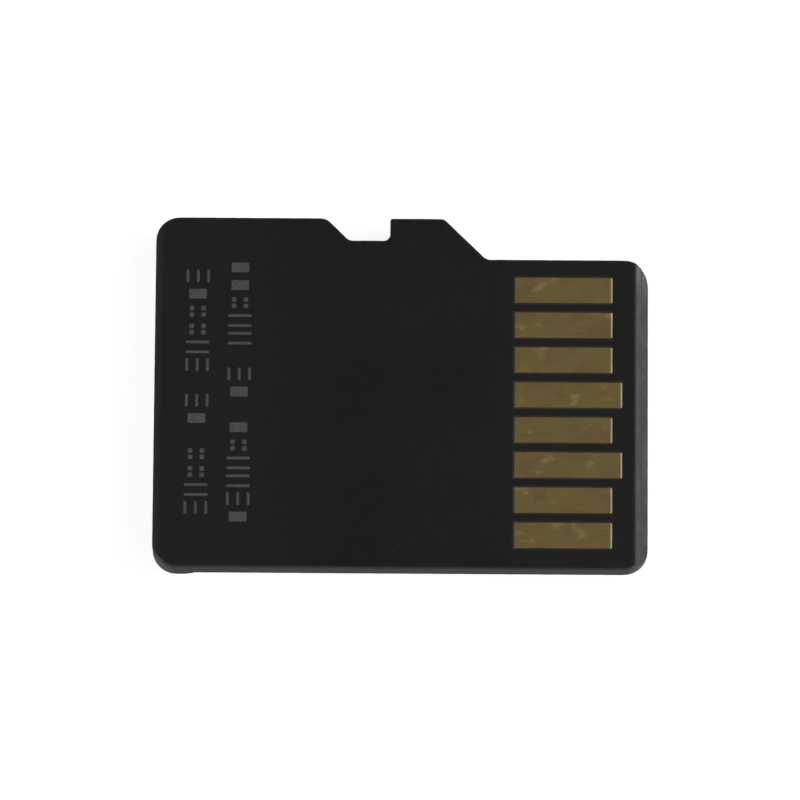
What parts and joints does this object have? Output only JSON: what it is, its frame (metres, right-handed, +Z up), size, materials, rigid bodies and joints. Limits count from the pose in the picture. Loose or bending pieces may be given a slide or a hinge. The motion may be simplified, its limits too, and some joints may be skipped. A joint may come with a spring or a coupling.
{
  "type": "microsd card",
  "caption": "Small flat removable memory card with a row of gold contacts, a side shoulder and latch notch, a bevelled front end and a finger lip.",
  "frame": {"origin": "middle of the card, on the plane that the finger lip stands on", "axes": "+X towards the contact end, +Y towards the side with the notch, +Z up, out of the contact face"},
  "size_m": [0.015, 0.011, 0.001],
  "materials": {
    "moulded_epoxy": "black filled epoxy, moulded matte",
    "laminate": "glass-epoxy laminate, sawn and ground at its edges",
    "solder_mask": "black solder mask lacquer, satin",
    "gold_plating": "hard gold plating on copper, dull and slightly stained",
    "laser_mark": "lacquer lightened by the laser, grey and matte",
    "copper": "etched copper foil",
    "silicon": "thinned silicon, polished",
    "die_film": "cured adhesive film",
    "gold_wire": "drawn gold wire",
    "capacitor_ceramic": "fired ceramic, plain",
    "resistor_ceramic": "ceramic with a dark glaze",
    "tinned_cap": "tin plating, dull",
    "solder": "lead-free solder, satin"
  },
  "bodies": {
    "root": {"moulded_body": "moulded_epoxy", "laminate_board": "laminate", "contact_face_mask": "solder_mask", "inner_face_mask": "solder_mask", "contact_pad_1": "gold_plating", "contact_pad_2": "gold_plating", "contact_pad_3": "gold_plating", "contact_pad_4": "gold_plating", "contact_pad_5": "gold_plating", "contact_pad_6": "gold_plating", "contact_pad_7": "gold_plating", "contact_pad_8": "gold_plating", "laser_marks": "laser_mark", "contact_vias": "copper", "inner_copper": "copper", "controller_die": "silicon", "controller_die_film": "die_film", "flash_die_1": "silicon", "flash_die_2": "silicon", "flash_die_3": "silicon", "flash_die_4": "silicon", "flash_die_film_1": "die_film", "flash_die_film_2": "die_film", "flash_die_film_3": "die_film", "flash_die_film_4": "die_film", "controller_bond_wires": "gold_wire", "flash_bond_wires": "gold_wire", "capacitor_1": "capacitor_ceramic", "capacitor_2": "capacitor_ceramic", "capacitor_3": "capacitor_ceramic", "capacitor_4": "capacitor_ceramic", "capacitor_terminals_1": "tinned_cap", "capacitor_terminals_2": "tinned_cap", "capacitor_terminals_3": "tinned_cap", "capacitor_terminals_4": "tinned_cap", "resistor_1": "resistor_ceramic", "resistor_2": "resistor_ceramic", "resistor_terminals_1": "tinned_cap", "resistor_terminals_2": "tinned_cap", "solder_joints": "solder"}
  },
  "joints": []
}
